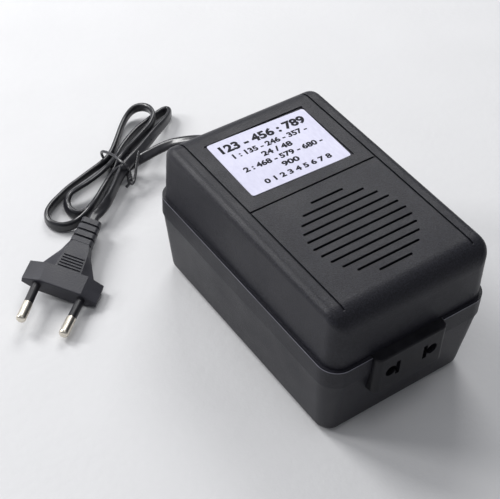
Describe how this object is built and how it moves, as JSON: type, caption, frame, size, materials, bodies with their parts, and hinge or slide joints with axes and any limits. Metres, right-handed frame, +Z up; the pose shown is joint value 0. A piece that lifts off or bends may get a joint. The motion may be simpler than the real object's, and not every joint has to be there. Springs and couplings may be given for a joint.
{
  "type": "travel voltage converter",
  "caption": "travel voltage converter in a two-shell plastic case, with a two-pin outlet in front, a vented top with a rating label, and a tied flat lead with a two-pin plug",
  "frame": {"origin": "bottom centre of the case with its outlet, on the surface that the feet stand on, measured without the lead, its plug and its bushing", "axes": "+Z up, +Y along the case from the outlet end to the end that the lead leaves, +X across the case"},
  "size_m": [0.1395, 0.2055, 0.0644],
  "materials": {
    "case_plastic": "fine moulded texture, black",
    "outlet_plastic": "smooth black",
    "label_paper": "white printed film",
    "cord_pvc": "smooth black PVC",
    "plug_pvc": "satin black PVC",
    "pin_metal": "nickel plated",
    "sleeve_plastic": "smooth black",
    "screw_steel": "zinc plated",
    "foot_rubber": "matt black",
    "core_steel": "varnished laminations",
    "strap_steel": "galvanised strap",
    "bobbin_nylon": "natural nylon",
    "copper_wire": "enamelled copper",
    "tape_yellow": "polyester tape",
    "cutoff_case": "moulded",
    "contact_brass": "bright brass",
    "lead_pvc": "smooth PVC",
    "cap_nylon": "nylon",
    "tie_plastic": "plastic coated wire"
  },
  "bodies": {
    "root": {"lower_shell": "case_plastic", "upper_shell": "case_plastic", "rating_label": "label_paper", "outlet_block": "outlet_plastic", "outlet_contact_left": "contact_brass", "outlet_contact_right": "contact_brass", "case_screws": "screw_steel", "rubber_feet": "foot_rubber", "core_e_stack": "core_steel", "core_i_stack": "core_steel", "bobbin": "bobbin_nylon", "inner_winding": "copper_wire", "interlayer_tape": "tape_yellow", "outer_winding": "copper_wire", "outer_tape": "tape_yellow", "core_bracket": "strap_steel", "bracket_screws": "screw_steel", "thermal_cutoff": "cutoff_case", "cord_bushing": "cord_pvc", "cord_inside": "cord_pvc", "cord_clamp": "case_plastic", "clamp_screws": "screw_steel", "splice_caps": "cap_nylon", "supply_lead_left": "lead_pvc", "supply_lead_right": "lead_pvc", "outlet_lead_left": "lead_pvc", "outlet_lead_right": "lead_pvc", "cord_lead": "cord_pvc", "cord_hank": "cord_pvc", "cord_tail": "cord_pvc", "plug_body": "plug_pvc", "plug_pin_left": "pin_metal", "plug_pin_right": "pin_metal", "pin_sleeve_left": "sleeve_plastic", "pin_sleeve_right": "sleeve_plastic", "twist_tie": "tie_plastic"}
  },
  "joints": []
}
